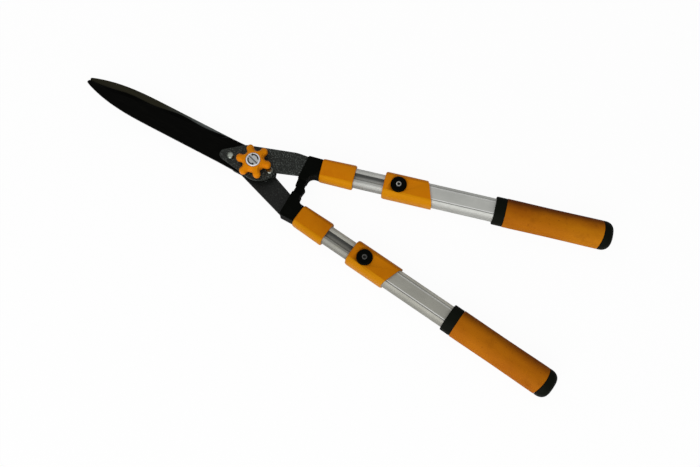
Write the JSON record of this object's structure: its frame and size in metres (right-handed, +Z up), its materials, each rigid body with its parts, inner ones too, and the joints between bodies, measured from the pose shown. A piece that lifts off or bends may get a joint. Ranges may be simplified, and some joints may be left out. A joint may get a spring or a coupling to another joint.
{
  "type": "telescopic hedge shears",
  "caption": "Hedge shears with long wavy-edged blades on a knob-tensioned pivot and telescopic tubular handles that are held by push-button locks.",
  "frame": {"origin": "centre of the pivot bolt head's flat underside, on the pivot axis", "axes": "+X towards the grips and -X towards the blade tips, +Y towards the front lever's handle, +Z up from the bolt head towards the tension knob"},
  "size_m": [0.6971, 0.2358, 0.0377],
  "materials": {
    "arm_coat": "dark grey-green hammered powder coat",
    "blade_coat": "near-black satin non-stick coating",
    "rear_blade_coat": "dark olive-grey satin non-stick coating, worn",
    "steel": "zinc-plated, satin",
    "spring_steel": "plain spring steel",
    "aluminium": "extruded, satin",
    "orange_plastic": "moulded, semi-gloss",
    "orange_grip": "soft vinyl, satin, soiled",
    "black_plastic": "moulded, satin"
  },
  "bodies": {
    "rear_lever": {"rear_arm": "arm_coat", "rear_blade": "rear_blade_coat", "rear_nose_rivet": "steel", "rear_heel_rivet": "steel", "rear_bumper": "black_plastic", "rear_ferrule": "orange_plastic", "rear_inner_tube": "aluminium", "rear_tube_guide": "black_plastic", "pivot_bolt": "steel", "disc_spring": "spring_steel", "thrust_washer": "steel"},
    "front_lever": {"front_arm": "arm_coat", "front_blade": "blade_coat", "front_nose_rivet": "steel", "front_heel_rivet": "steel", "front_bumper": "black_plastic", "front_ferrule": "orange_plastic", "front_inner_tube": "aluminium", "front_tube_guide": "black_plastic"},
    "rear_handle": {"rear_outer_tube": "aluminium", "rear_lock_sleeve": "orange_plastic", "rear_lock_spring": "spring_steel", "rear_grip_collar": "black_plastic", "rear_grip": "orange_grip", "rear_end_cap": "black_plastic"},
    "front_handle": {"front_outer_tube": "aluminium", "front_lock_sleeve": "orange_plastic", "front_lock_spring": "spring_steel", "front_grip_collar": "black_plastic", "front_grip": "orange_grip", "front_end_cap": "black_plastic"},
    "rear_button": {"rear_lock_button": "black_plastic", "rear_lock_pin": "steel", "rear_button_screw": "steel"},
    "front_button": {"front_lock_button": "black_plastic", "front_lock_pin": "steel", "front_button_screw": "steel"},
    "tension_knob": {"star_knob": "orange_plastic", "knob_insert": "steel"}
  },
  "joints": [
    {"name": "blade_pivot", "type": "hinge", "parent": "rear_lever", "child": "front_lever", "pos_m": [0, 0, 0.0157], "axis": [0, 0, 1], "range_deg": [0, 60]},
    {"name": "rear_telescope", "type": "slide", "parent": "rear_lever", "child": "rear_handle", "axis": [0.9825, -0.1862, 0], "range_m": [0, 0.165]},
    {"name": "front_telescope", "type": "slide", "parent": "front_lever", "child": "front_handle", "axis": [0.9825, 0.1862, 0], "range_m": [0, 0.165]},
    {"name": "rear_lock", "type": "slide", "parent": "rear_handle", "child": "rear_button", "axis": [0, 0, 1], "range_m": [0, 0.0024], "stiffness_N_per_m": 800, "springref_m": 0.004, "deforming": ["rear_lock_spring"]},
    {"name": "front_lock", "type": "slide", "parent": "front_handle", "child": "front_button", "axis": [0, 0, 1], "range_m": [0, 0.0024], "stiffness_N_per_m": 800, "springref_m": 0.004, "deforming": ["front_lock_spring"]},
    {"name": "tension_turn", "type": "hinge", "parent": "rear_lever", "child": "tension_knob", "pos_m": [0, 0, 0.0314], "axis": [0, 0, 1], "range_deg": [-90, 90]}
  ]
}
